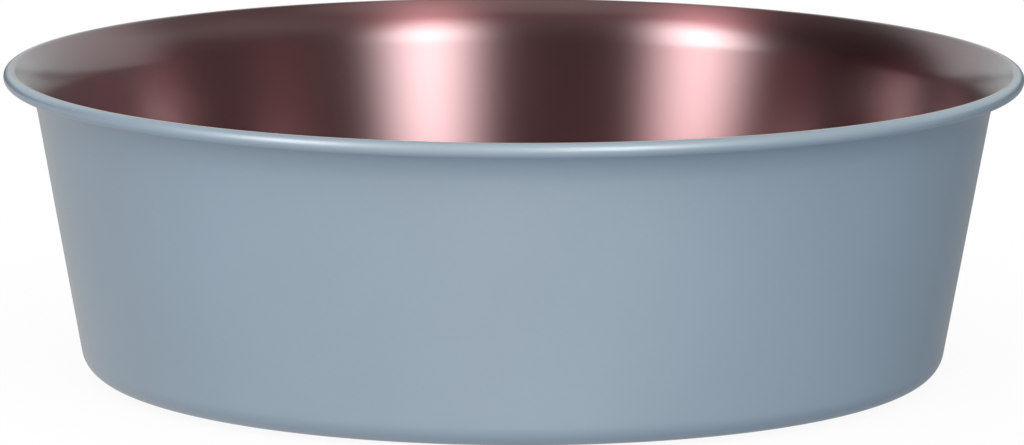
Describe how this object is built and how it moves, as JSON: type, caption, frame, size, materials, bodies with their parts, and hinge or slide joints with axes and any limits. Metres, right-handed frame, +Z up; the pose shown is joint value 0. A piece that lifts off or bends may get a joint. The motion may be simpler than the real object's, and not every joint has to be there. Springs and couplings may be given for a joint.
{
  "type": "pet bowl",
  "caption": "Round pet food bowl of painted sheet steel with a rose-metal inside, a flared rolled lip, sloping wall and a recessed base with a rubber grip ring.",
  "frame": {"origin": "centre of the rubber ring's underside, on the surface that the bowl stands on", "axes": "+Z up along the bowl's axis of revolution; +X and +Y are alike, because the bowl is round"},
  "size_m": [0.21, 0.21, 0.0637],
  "materials": {
    "painted_steel": "satin blue-grey coat on the outside and the lip of the stainless sheet",
    "rose_metal": "satin rose-copper metal finish on the inside of the bowl, from the crest of the lip to the floor",
    "rubber": "matt black moulded rubber"
  },
  "bodies": {
    "root": {"bowl": "painted_steel", "rubber_ring": "rubber"}
  },
  "joints": []
}
